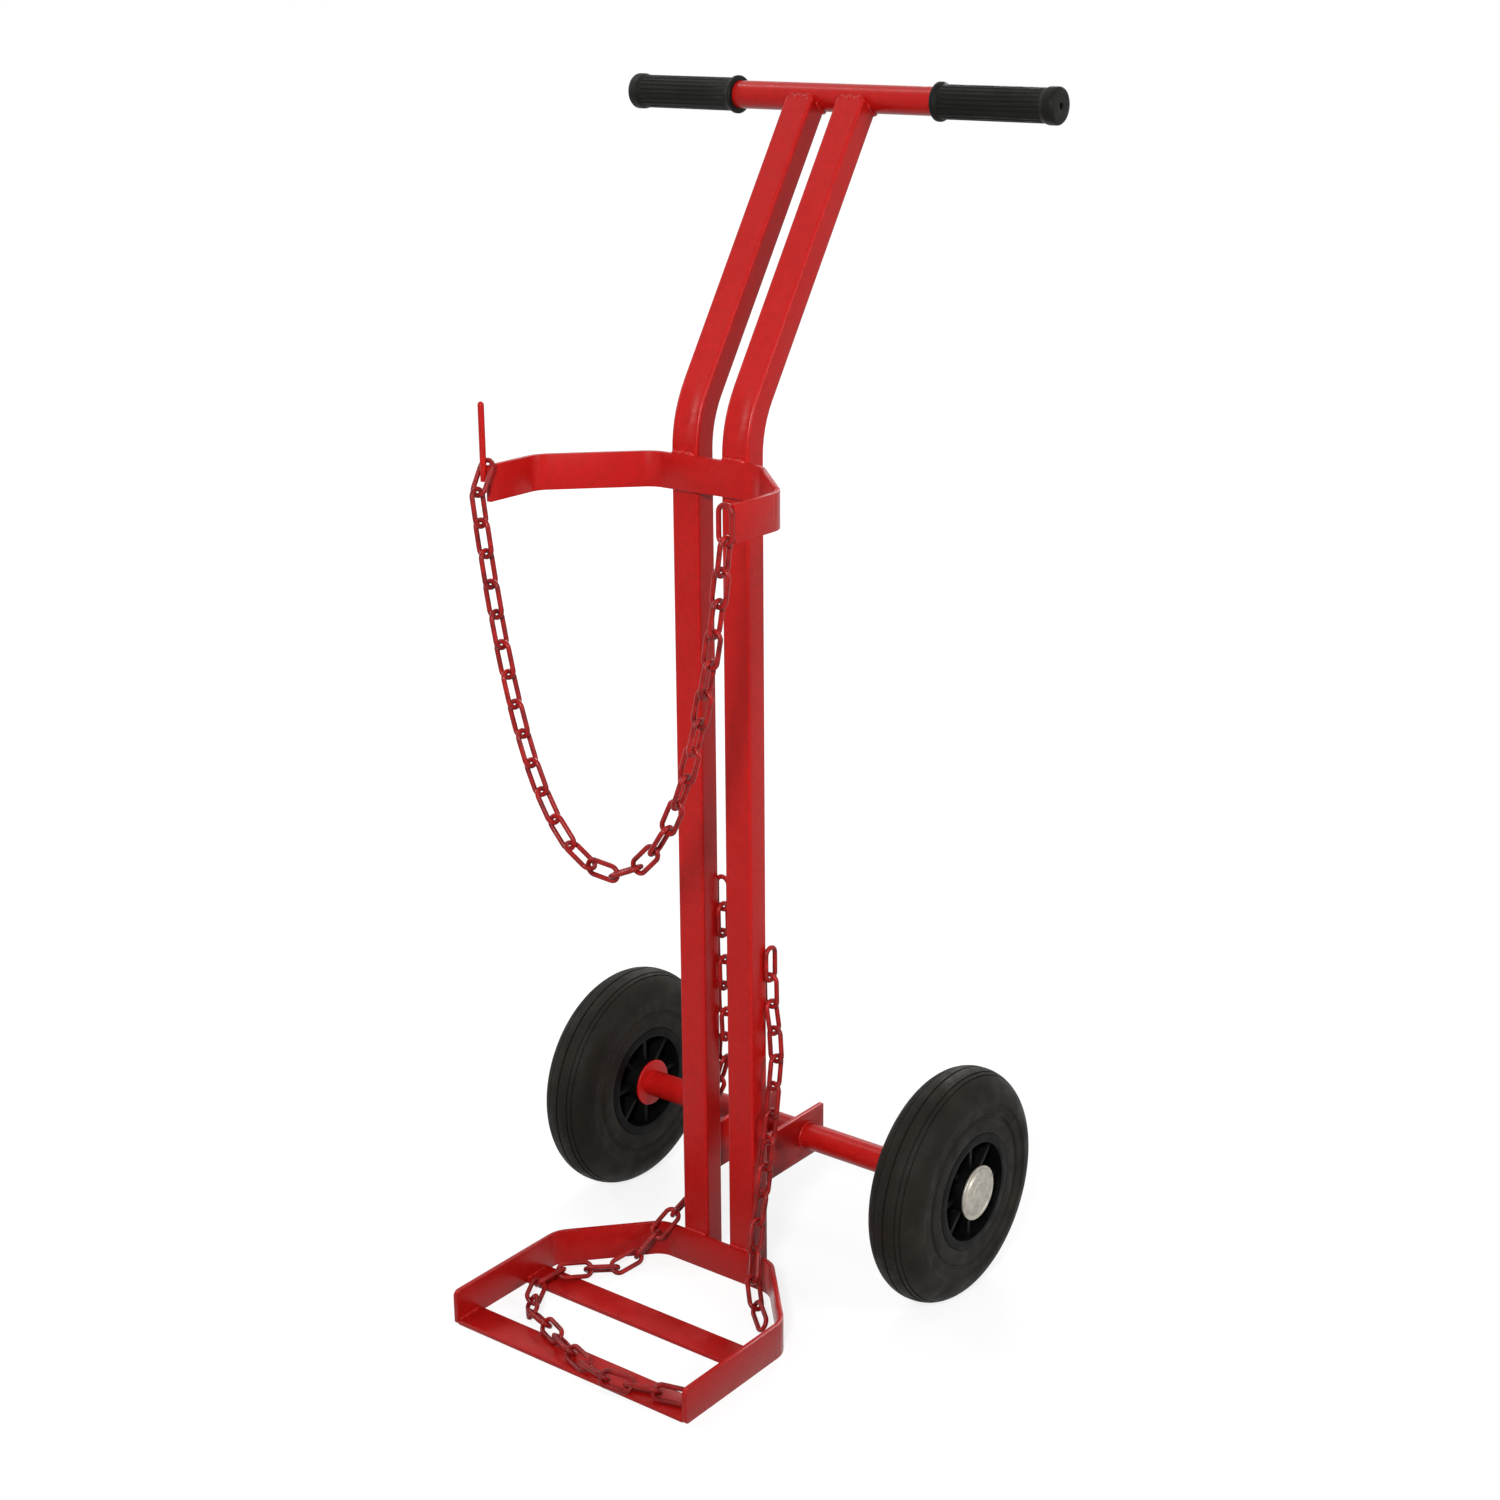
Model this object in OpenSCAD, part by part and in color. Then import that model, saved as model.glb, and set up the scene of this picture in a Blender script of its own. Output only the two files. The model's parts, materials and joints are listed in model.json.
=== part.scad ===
// Gas cylinder trolley: two bent uprights with a T handle, a cradle and a base of flat bar,
// two rubber-tyred wheels on one axle, a retaining chain on a peg and two lower chains.
// Millimetres. +X right, +Y back, +Z up. The origin is on the floor under the crossbar's middle.

/* [Uprights] */
// width of each rectangular tube across the trolley
tube_w = 26; // [20:0.5:36]
// depth of each rectangular tube, front to back
tube_d = 21; // [16:0.5:30]
// wall of the rectangular tube
tube_wall = 1.6; // [1:0.1:3]
// outer corner radius of the rectangular tube
tube_corner = 2.5; // [1:0.1:4]
// distance between the centre lines of the two uprights
tube_pitch = 49; // [42:0.5:70]
// front face of the uprights, behind the origin
frame_y = 99; // [90:0.5:140]
// height at which the uprights start to bend back
bend_z = 706; // [600:1:900]
// angle by which the upper part leans back
lean = 33; // [10:0.5:45]
// bend radius at the tube's centre line
bend_r = 87; // [40:1:110]
// metal drawn thinner in a bend or fold, on each face
bend_thin = 0.03; // [0.02:0.01:0.1]
// leaning length from the bend to the foot of the handle's centre line
stem_len = 254; // [150:1:400]

/* [Handle] */
// diameter of the handle bar
bar_d = 22; // [18:0.5:30]
// wall of the handle bar
bar_wall = 2; // [1:0.1:3]
// handle's centre line behind the centre line of the uprights
handle_setback = 4.6; // [0:0.1:6]
// width over both grips
handle_w = 407; // [320:1:520]
// length of one grip
grip_len = 108; // [90:1:130]
// diameter of the grip
grip_d = 26.5; // [25:0.5:36]
// diameter of the flange at the grip's inner end
flange_d = 30; // [28:0.5:44]
// thickness of the flange
flange_t = 4; // [2:0.5:8]
// diameter of the knob at the grip's closed end
knob_d = 28.5; // [27:0.5:40]
// length of the knob
knob_len = 9; // [7:0.5:16]
// closed end of the grip
grip_end = 4; // [2:0.5:8]
// small hole in the middle of the closed end
vent_d = 5; // [2:0.5:8]

/* [Flat bar] */
// thickness of every flat bar
flat_t = 4; // [3:0.5:6]
// inside radius of the folds in the flat bar
fold_r = 20; // [6:1:24]
// width of the flat bars that lie on the floor
flat_w = 28; // [20:0.5:40]

/* [Cradle] */
// height of the cradle band
cradle_h = 28; // [20:0.5:40]
// top edge of the cradle below the start of the bend
cradle_drop = 1; // [0.5:0.5:100]
// width over the cradle's arms
cradle_w = 239; // [210:1:300]
// straight length of the cradle's back
cradle_back = 104; // [80:1:130]
// fold between arm and slanted part, measured from the origin
cradle_fold_y = 32; // [10:0.5:60]
// front end of the arms, measured from the origin
arm_front = -22.5; // [-60:0.5:5]
// diameter of the peg that holds the chain
peg_d = 5; // [4:0.5:8]
// height of the peg above the cradle
peg_up = 49; // [25:1:80]
// length of the peg that is welded to the arm's end
peg_foot = 12; // [8:0.5:14]

/* [Base] */
// height of the standing base band
base_h = 30; // [20:0.5:40]
// width over the base
base_w = 245; // [215:1:300]
// straight length of the base's back
base_back = 116; // [96:1:140]
// fold between side and slanted part, measured from the origin
base_fold_y = 28.5; // [10:0.5:60]
// front edge of the base, measured from the origin
base_front = -97; // [-140:0.5:-80]

/* [Axle] */
// axle's centre line behind the origin
axle_y = 191; // [175:0.5:240]
// diameter of the axle
axle_d = 19; // [14:0.5:20]
// diameter of the tube round the axle
sleeve_d = 23; // [22:0.5:32]
// length of the tube round the axle
sleeve_len = 292; // [240:1:360]
// thickness of the plates that carry the axle
gusset_t = 5; // [3:0.5:8]
// height of the plates that carry the axle
gusset_h = 42; // [32:0.5:60]
// plates reach this far behind the axle's centre line
gusset_back = 24; // [18:0.5:40]
// diameter of the collars at the ends of the tube
collar_d = 42; // [34:0.5:60]
// thickness of the collars
collar_t = 2.5; // [2.5:0.5:8]
// rounded edge of the collars
collar_round = 1; // [0.25:0.25:1.2]

/* [Wheels] */
// diameter of the tyre
wheel_d = 200; // [160:1:260]
// width of the tyre, and of the hub
tyre_w = 50; // [49:0.5:60]
// radius of the tyre's rounded shoulders
shoulder_r = 24; // [14:0.5:24]
// diameter of the rim inside the tyre
rim_d = 93; // [84:1:95]
// thickness of the rim's outer ring
rim_ring_t = 4.5; // [3:0.5:8]
// diameter of the lips that hold the tyre on the rim
lip_d = 99; // [97:1:110]
// thickness of the lips
lip_t = 3; // [2:0.5:5]
// side walls stand back by this much inside the shoulders
wall_step = 1.2; // [0.5:0.1:2]
// that step lies this far inside the start of the rounded crown
step_in = 1; // [0.5:0.5:4]
// groove in the side walls, this far inside the step
groove_in = 11; // [6:0.5:14]
// radius of that groove
groove_r = 1.8; // [1:0.1:2.5]
// thickness of the rim's web
web_t = 7; // [4:0.5:12]
// number of ribs on each side of the web
rib_n = 8; // [5:1:12]
// thickness of the ribs
rib_t = 4; // [2:0.5:6]
// diameter of the rim's hub
hub_d = 40; // [34:0.5:52]
// outer diameter of the bearing bush
bush_d = 27; // [24:0.5:32]
// diameter of the hub cap
cap_d = 46.5; // [40:0.5:56]
// height of the hub cap's edge
cap_edge = 2; // [1:0.5:4]
// height of the hub cap's raised middle
cap_rise = 4.5; // [3:0.5:8]

/* [Chains] */
// thickness of the chain's wire
wire_d = 4; // [3:0.1:4.5]
// distance from link to link
link_pitch = 23.6; // [22:0.1:26]
// outer width of a link
link_w = 16; // [15:0.1:20]
// number of links that hang free between the two end links
hang_n = 27; // [25:2:31]
// tilt of the end link on the peg
peg_link_tilt = 60; // [50:1:64]
// height of that link's top wire above the cradle
peg_link_rise = 3.6; // [3.5:0.1:8]
// that link hangs this far inside the peg's centre
peg_link_in = 1.1; // [1:0.1:1.2]
// height of the left lower chain's fixed end
tail_left_z = 352; // [345:1:370]
// height of the right lower chain's fixed end
tail_right_z = 301; // [295:1:310]

/* [Clearances] */
// gap at a welded joint
weld_gap = 0.1; // [0.05:0.05:0.3]
// radial running clearance of the bushes on the axle
run_gap = 0.05; // [0.02:0.01:0.1]
// end float of each wheel on the axle
end_float = 0.5; // [0.3:0.1:1]
// gap of pieces that are pushed together
push_gap = 0.05; // [0.02:0.01:0.1]
// play between two links of a chain
link_play = 0.9; // [0.6:0.05:0.95]
// gap where a chain rests on or beside something
rest_gap = 0.3; // [0.2:0.05:0.6]

/* [Hidden] */
$fn = 48;
side_x = tube_pitch / 2;
tube_back_y = frame_y + tube_d;
axle_z = wheel_d / 2;
// angles by which a tube's bend and a bar's fold reach into the straight metal at both ends
bend_lap = 0.5;
fold_lap = 1.5;
// bend centre, start and directions of the leaning part, and handle centre, as [y, z]
bend_c = [frame_y + tube_d / 2 + bend_r, bend_z];
stem_start = bend_c + bend_r * [-cos(lean), sin(lean)];
stem_dir = [sin(lean), cos(lean)];
stem_back = [cos(lean), -sin(lean)];
bar_c = stem_start + stem_len * stem_dir + handle_setback * stem_back;
grip_in_x = handle_w / 2 - grip_len;
bar_len = handle_w - 2 * grip_end - 2 * push_gap;
cradle_top = bend_z - cradle_drop;
cradle_low = cradle_top - cradle_h;
peg_x = -cradle_w / 2;
peg_y = arm_front - peg_d / 2 - weld_gap;
gusset_low = axle_z - gusset_h / 2;
collar_x = sleeve_len / 2 + push_gap;
hub_x = collar_x + collar_t + end_float;
wheel_x = hub_x + tyre_w / 2;
cap_x = hub_x + tyre_w + end_float;
axle_end = cap_x + cap_edge;
// chain link: radius of the end bows, half of the straight wires, distance of the end wires
bow_r = (link_w - wire_d) / 2;
link_span = link_pitch + link_play + wire_d;
link_half = link_span / 2 - bow_r;
seat = (wire_d + link_play) / 2;
// end links of the retaining chain: upper wire of the peg link, centre of the welded link
peg_link_top = [peg_x + peg_link_in, peg_y + peg_d / 2 + wire_d / 2 + link_play / 2,
    cradle_top + peg_link_rise];
peg_link_dir = [0, -cos(peg_link_tilt), -sin(peg_link_tilt)];
peg_link_low = peg_link_top + link_span * peg_link_dir;
weld_link_c = [cradle_w / 2 - flat_t / 2 - bow_r + 1, arm_front - wire_d / 2 - weld_gap,
    cradle_top - link_span / 2 - 0.5];
weld_link_low = weld_link_c - [0, 0, link_span / 2];
hang_a = peg_link_low + [0, 0, seat];
hang_b = weld_link_low + [0, 0, seat];

// rounded rectangle from two bars and four corner circles
module round_rect(a, b, r) {
    square([a, b - 2 * r], center = true);
    square([a - 2 * r, b], center = true);
    for (x = [-1, 1], y = [-1, 1])
        translate([x * (a / 2 - r), y * (b / 2 - r)])
            circle(r);
}

// wall of a rectangular tube in section, drawn thinner by "thin" on each face
module tube_ring(a, b, thin = 0) {
    hole = 2 * tube_wall - 2 * thin;
    difference() {
        round_rect(a - 2 * thin, b - 2 * thin, tube_corner);
        square([a - hole, b - hole], center = true);
    }
}

// one upright: straight part, bend and leaning part, hollowed out to seat the handle bar
module upright(x) {
    difference() {
        translate([x, frame_y + tube_d / 2, 0]) {
            linear_extrude(bend_z)
                tube_ring(tube_w, tube_d);
            translate([0, bend_r, bend_z]) {
                rotate([90, 0, -90])
                    rotate(-bend_lap)
                        rotate_extrude(angle = lean + 2 * bend_lap)
                            translate([bend_r, 0])
                                tube_ring(tube_d, tube_w, bend_thin);
                rotate([-lean, 0, 0])
                    translate([0, -bend_r, 0])
                        linear_extrude(stem_len)
                            tube_ring(tube_w, tube_d);
            }
        }
        translate([x, bar_c[0], bar_c[1]])
            rotate([0, 90, 0])
                cylinder(h = 2 * tube_w, d = bar_d + 2 * weld_gap, center = true);
    }
}

module left_upright() color([0.68, 0.13, 0.12]) upright(-side_x);

module right_upright() color([0.68, 0.13, 0.12]) upright(side_x);

module handle_bar() color([0.7, 0.14, 0.12])
    translate([0, bar_c[0], bar_c[1]])
        rotate([0, 90, 0])
            difference() {
                cylinder(h = bar_len, d = bar_d, center = true);
                cylinder(h = bar_len + 2, d = bar_d - 2 * bar_wall, center = true);
            }

// disc along +Z with both edges rounded
module round_disc(d, t, r) {
    rotate_extrude() {
        square([d / 2 - r, t]);
        translate([0, r])
            square([d / 2, t - 2 * r]);
        for (y = [r, t - r])
            translate([d / 2 - r, y])
                circle(r);
    }
}

// grip along +Z from its flange to the knob at its closed end
module grip() {
    difference() {
        union() {
            round_disc(flange_d, flange_t, flange_t / 3);
            translate([0, 0, flange_t / 2])
                cylinder(h = grip_len - flange_t / 2 - knob_len / 2, d = grip_d);
            translate([0, 0, grip_len - knob_len])
                round_disc(knob_d, knob_len, knob_len / 3);
        }
        translate([0, 0, -1])
            cylinder(h = grip_len - grip_end + 1, d = bar_d + 2 * push_gap);
        cylinder(h = grip_len + 1, d = vent_d);
    }
}

module left_grip() color([0.13, 0.13, 0.12])
    translate([-grip_in_x, bar_c[0], bar_c[1]])
        rotate([0, -90, 0])
            grip();

module right_grip() color([0.13, 0.13, 0.12])
    translate([grip_in_x, bar_c[0], bar_c[1]])
        rotate([0, 90, 0])
            grip();

// flat bar folded along a line of points, seen from above: its folds and the straight runs between them
function unit(v) = v / norm(v);
function turn(u, v) = atan2(u[0] * v[1] - u[1] * v[0], u * v);
function folds(p) = [for (i = [1 : len(p) - 2]) turn(p[i] - p[i - 1], p[i + 1] - p[i])];
function trim(a) = (fold_r + flat_t / 2) * tan(abs(a) / 2);
function runs(p, a) = [for (i = [0 : len(p) - 2])
    norm(p[i + 1] - p[i]) - (i == 0 ? 0 : trim(a[i - 1])) - (i == len(a) ? 0 : trim(a[i]))];

// straight runs joined by folds; each fold reaches a little into the runs beside it, as one piece
module bar_from(l, a, h, i = 0) {
    translate([0, -flat_t / 2, 0])
        cube([l[i], flat_t, h]);
    if (i < len(a)) {
        s = sign(a[i]);
        mid_r = fold_r + flat_t / 2;
        translate([l[i], s * mid_r, 0]) {
            rotate(-s * (90 + fold_lap))
                rotate_extrude(angle = a[i] + 2 * s * fold_lap)
                    translate([fold_r + bend_thin, bend_thin])
                        square([flat_t - 2 * bend_thin, h - 2 * bend_thin]);
            rotate(a[i])
                translate([0, -s * mid_r, 0])
                    bar_from(l, a, h, i + 1);
        }
    }
}

module folded_bar(p, h) {
    a = folds(p);
    translate([p[0][0], p[0][1], 0])
        rotate(90)
            bar_from(runs(p, a), a, h);
}

// open band round the cylinder: side, slant, back, slant, side
function band_line(w, back, fold_y, front) = let (x = w / 2 - flat_t / 2, y = frame_y - flat_t / 2)
    [[-x, front], [-x, fold_y], [-back / 2, y], [back / 2, y], [x, fold_y], [x, front]];

module cradle_band() color([0.69, 0.13, 0.12])
    translate([0, 0, cradle_low])
        folded_bar(band_line(cradle_w, cradle_back, cradle_fold_y, arm_front), cradle_h);

module chain_peg() color([0.66, 0.12, 0.12])
    translate([peg_x, peg_y, cradle_top - peg_foot]) {
        cylinder(h = peg_foot + peg_up - peg_d / 2, d = peg_d);
        translate([0, 0, peg_foot + peg_up - peg_d / 2])
            sphere(d = peg_d);
    }

module base_band() color([0.63, 0.11, 0.11])
    folded_bar(band_line(base_w, base_back, base_fold_y, base_front), base_h);

// flat bar lying on the floor between the sides of the base
module floor_bar(y) {
    len = base_w - 2 * flat_t;
    translate([-len / 2, y, 0])
        cube([len, flat_w, flat_t]);
}

module base_front_bar() color([0.69, 0.14, 0.12]) floor_bar(base_front);

module base_crossbar() color([0.67, 0.12, 0.12]) floor_bar(-flat_w / 2);

// plate behind an upright, bored for the axle's tube
module gusset(x) {
    difference() {
        translate([x - gusset_t / 2, tube_back_y, gusset_low])
            cube([gusset_t, axle_y + gusset_back - tube_back_y, gusset_h]);
        translate([x, axle_y, axle_z])
            rotate([0, 90, 0])
                cylinder(h = 2 * gusset_t, d = sleeve_d + 2 * weld_gap, center = true);
    }
}

module left_gusset() color([0.65, 0.12, 0.11]) gusset(-side_x);

module right_gusset() color([0.65, 0.12, 0.11]) gusset(side_x);

// turns a piece along +Z so that it lies along the axle, outward on side s
module on_axle(s, x) {
    translate([s * x, axle_y, axle_z])
        rotate([0, s * 90, 0])
            children();
}

module axle_sleeve() color([0.67, 0.13, 0.12])
    on_axle(1, 0)
        difference() {
            cylinder(h = sleeve_len, d = sleeve_d, center = true);
            cylinder(h = sleeve_len + 2, d = axle_d + 2 * push_gap, center = true);
        }

module axle_shaft() color([0.6, 0.6, 0.6])
    on_axle(1, 0)
        cylinder(h = 2 * axle_end, d = axle_d, center = true);

module collar() {
    difference() {
        round_disc(collar_d, collar_t, collar_round);
        translate([0, 0, -1])
            cylinder(h = collar_t + 2, d = axle_d + 2 * push_gap);
    }
}

module left_collar() color([0.66, 0.13, 0.12]) on_axle(-1, collar_x) collar();

module right_collar() color([0.66, 0.13, 0.12]) on_axle(1, collar_x) collar();

// half widths of the tyre: between the rim's lips, at the side walls and at the shoulders
foot_half = tyre_w / 2 - wall_step - lip_t;
wall_half = tyre_w / 2 - wall_step;

// tyre in section: x is the radius, y the width
module tyre_section() {
    seat_r = rim_d / 2 + push_gap;
    lip_r = lip_d / 2 + push_gap;
    bow = wheel_d / 2 - shoulder_r;
    step_r = bow - step_in;
    difference() {
        union() {
            translate([seat_r, push_gap - foot_half])
                square([bow - seat_r, 2 * foot_half - 2 * push_gap]);
            translate([lip_r, -wall_half])
                square([bow - lip_r, 2 * wall_half]);
            translate([step_r, -tyre_w / 2])
                square([step_in, tyre_w]);
            translate([bow - 1, shoulder_r - tyre_w / 2])
                square([shoulder_r + 1, tyre_w - 2 * shoulder_r]);
            for (s = [-1, 1]) {
                // shoulder, outside the rim's lips
                intersection() {
                    translate([bow, s * (tyre_w / 2 - shoulder_r)])
                        circle(shoulder_r, $fn = 64);
                    translate([lip_r, -tyre_w])
                        square([wheel_d / 2, 2 * tyre_w]);
                }
                // rounded start of the shoulder
                translate([step_r, s * wall_half])
                    circle(wall_step);
            }
        }
        for (s = [-1, 1])
            translate([step_r - groove_in, s * wall_half])
                circle(groove_r);
    }
}

module tyre()
    translate([0, 0, tyre_w / 2])
        rotate_extrude($fn = 96)
            tyre_section();

module left_tyre() color([0.14, 0.13, 0.12]) on_axle(-1, hub_x) tyre();

module right_tyre() color([0.14, 0.13, 0.12]) on_axle(1, hub_x) tyre();

// plastic rim: outer ring with two lips, web, ribs and hub
module rim() {
    ring_w = 2 * wall_half;
    difference() {
        union() {
            cylinder(h = tyre_w, d = hub_d);
            translate([0, 0, tyre_w / 2 - web_t / 2])
                cylinder(h = web_t, d = rim_d - rim_ring_t);
            translate([0, 0, tyre_w / 2 - ring_w / 2])
                difference() {
                    union() {
                        cylinder(h = ring_w, d = rim_d, $fn = 96);
                        for (z = [0, ring_w - lip_t])
                            translate([0, 0, z])
                                cylinder(h = lip_t, d = lip_d, $fn = 96);
                    }
                    translate([0, 0, -1])
                        cylinder(h = ring_w + 2, d = rim_d - 2 * rim_ring_t, $fn = 96);
                }
            for (i = [0 : rib_n - 1])
                rotate(i * 360 / rib_n)
                    translate([hub_d / 2 - 2, -rib_t / 2, tyre_w / 2 - ring_w / 2 + 5])
                        cube([rim_d / 2 - rim_ring_t - hub_d / 2 + 4, rib_t, ring_w - 10]);
        }
        translate([0, 0, -1])
            cylinder(h = tyre_w + 2, d = bush_d + 2 * push_gap);
    }
}

module left_rim() color([0.06, 0.05, 0.05]) on_axle(-1, hub_x) rim();

module right_rim() color([0.06, 0.05, 0.05]) on_axle(1, hub_x) rim();

module bush() {
    difference() {
        cylinder(h = tyre_w, d = bush_d);
        translate([0, 0, -1])
            cylinder(h = tyre_w + 2, d = axle_d + 2 * run_gap);
    }
}

module left_bush() color([0.8, 0.8, 0.76]) on_axle(-1, hub_x) bush();

module right_bush() color([0.8, 0.8, 0.76]) on_axle(1, hub_x) bush();

// pressed cap pushed on the axle's end: rolled edge, sunk ring, raised middle with a low boss
module hub_cap() {
    difference() {
        union() {
            cylinder(h = cap_edge / 2, d = cap_d - cap_edge);
            translate([0, 0, cap_edge / 2])
                rotate_extrude()
                    translate([cap_d / 2 - cap_edge / 2, 0])
                        circle(d = cap_edge);
            cylinder(h = cap_rise - 1, d1 = cap_d - 8, d2 = cap_d - 12);
            cylinder(h = cap_rise, d1 = axle_d + 6, d2 = axle_d);
        }
        translate([0, 0, -1])
            cylinder(h = cap_edge + 1 + push_gap, d = axle_d + 2 * push_gap);
    }
}

module left_hub_cap() color([0.74, 0.71, 0.64]) on_axle(-1, cap_x) hub_cap();

module right_hub_cap() color([0.74, 0.71, 0.64]) on_axle(1, cap_x) hub_cap();

// chain link in the XY plane, its length along X
module link() {
    for (s = [0, 180])
        rotate(s) {
            translate([link_half, 0, 0])
                rotate(-90)
                    rotate_extrude(angle = 180)
                        translate([bow_r, 0])
                            circle(d = wire_d, $fn = 20);
            translate([-link_half, bow_r, 0])
                rotate([0, 90, 0])
                    cylinder(h = 2 * link_half, d = wire_d, $fn = 20);
        }
}

// link with its middle at c, its length along t and its width along n
module link_at(c, t, n) {
    b = cross(t, n);
    multmatrix([[t[0], n[0], b[0], c[0]],
                [t[1], n[1], b[1], c[1]],
                [t[2], n[2], b[2], c[2]],
                [0, 0, 0, 1]])
        link();
}

// links along a row of joints; each link is turned a quarter against the one before, and a little more
function carry(t, n, i = 0) = let (u = unit(n - (n * t[i]) * t[i]))
    i == len(t) - 1 ? [u] : concat([u], carry(t, u, i + 1));
function rolled(n, t, a) = n * cos(a) + cross(t, n) * sin(a);

module links(joints, n0, twist = 0) {
    last = len(joints) - 2;
    t = [for (i = [0 : last]) unit(joints[i + 1] - joints[i])];
    n = carry(t, n0);
    for (i = [0 : last])
        link_at((joints[i] + joints[i + 1]) / 2, t[i], rolled(n[i], t[i], i * twist + (i % 2) * 90));
}

module peg_link() color([0.64, 0.12, 0.12])
    link_at((peg_link_top + peg_link_low) / 2, peg_link_dir, [1, 0, 0]);

module weld_link() color([0.64, 0.12, 0.12])
    link_at(weld_link_c, [0, 0, -1], [1, 0, 0]);

// hanging chain of equal links: the slope grows evenly from link to link
function total(v, i = 0) = i == len(v) ? 0 : v[i] + total(v, i + 1);
function slope(i, mid, k) = atan((i - mid) / k);
function reach(mid, k) = link_pitch * total([for (i = [0 : hang_n - 1]) cos(slope(i, mid, k))]);
function climb(mid, k) = link_pitch * total([for (i = [0 : hang_n - 1]) sin(slope(i, mid, k))]);
function find_mid(k, dz, lo, hi, n) = let (m = (lo + hi) / 2)
    n == 0 ? m : climb(m, k) > dz ? find_mid(k, dz, m, hi, n - 1) : find_mid(k, dz, lo, m, n - 1);
function mid_of(k, dz) = find_mid(k, dz, 0, hang_n, 26);
function find_k(dx, dz, lo, hi, n) = let (k = (lo + hi) / 2)
    n == 0 ? k : reach(mid_of(k, dz), k) < dx ? find_k(dx, dz, k, hi, n - 1) : find_k(dx, dz, lo, k, n - 1);

hang_flat = [hang_b[0] - hang_a[0], hang_b[1] - hang_a[1], 0];
hang_rise = hang_b[2] - hang_a[2];
hang_k = find_k(norm(hang_flat), hang_rise, 0.2, 20, 26);
hang_mid = mid_of(hang_k, hang_rise);
function hang_joints(p, i = 0) = i == hang_n ? [p]
    : let (a = slope(i, hang_mid, hang_k))
        concat([p], hang_joints(p + link_pitch * (cos(a) * unit(hang_flat) + sin(a) * [0, 0, 1]), i + 1));

module retaining_chain() color([0.64, 0.12, 0.12])
    links(hang_joints(hang_a), cross(unit(hang_flat), [0, 0, 1]));

// smooth way through a row of points, and joints one pitch apart on it
function ease(a, b, c, d, u) = (2 * b + (c - a) * u + (2 * a - 5 * b + 4 * c - d) * u * u
    + (3 * b - a - 3 * c + d) * u * u * u) / 2;
function spot(p, s) = let (n = len(p), i = min(floor(s), n - 2), u = s - i)
    ease(i > 0 ? p[i - 1] : 2 * p[0] - p[1], p[i], p[i + 1],
        i < n - 2 ? p[i + 2] : 2 * p[n - 1] - p[n - 2], u);
function close_in(p, j, lo, hi, n) = let (m = (lo + hi) / 2)
    n == 0 ? m : norm(spot(p, m) - j) < link_pitch ? close_in(p, j, m, hi, n - 1)
        : close_in(p, j, lo, m, n - 1);
function next_s(p, j, s) = s >= len(p) - 1 ? -1
    : norm(spot(p, s + 0.04) - j) >= link_pitch ? close_in(p, j, s, s + 0.04, 20) : next_s(p, j, s + 0.04);
function route(p, s = 0) = let (j = spot(p, s), t = next_s(p, j, s))
    (t < 0 || t > len(p) - 1) ? [j] : concat([j], route(p, t));

// heights of a chain that lies on the floor and on a floor bar, its links leaning by 45 degrees
lie = bow_r * sin(45) + wire_d / 2 + rest_gap;
lie_bar = lie + flat_t;
// places that the lower chains keep to: the uprights' outer faces, the gap between the uprights,
// behind and beside an upright, the gussets' top, the inside of the base's back and sides
out_x = side_x + tube_w / 2;
gap_x = tube_w / 2 + wire_d / 2 + rest_gap - side_x;
behind_y = tube_back_y + link_w / 2 + rest_gap;
beside_x = out_x + link_w / 2 + 0.5;
gusset_top = gusset_low + gusset_h;
in_y = frame_y - flat_t;
in_x = base_w / 2 - flat_t;
// end links: one welded to the back of the left upright, one to the outer side of the right upright
left_end = [gap_x, tube_back_y + wire_d / 2 + weld_gap, tail_left_z - link_span / 2];
right_end = [out_x + wire_d / 2 + weld_gap, tube_back_y + wire_d / 2 + rest_gap,
    tail_right_z - link_span / 2];
below = [0, 0, seat - link_span / 2];

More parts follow.
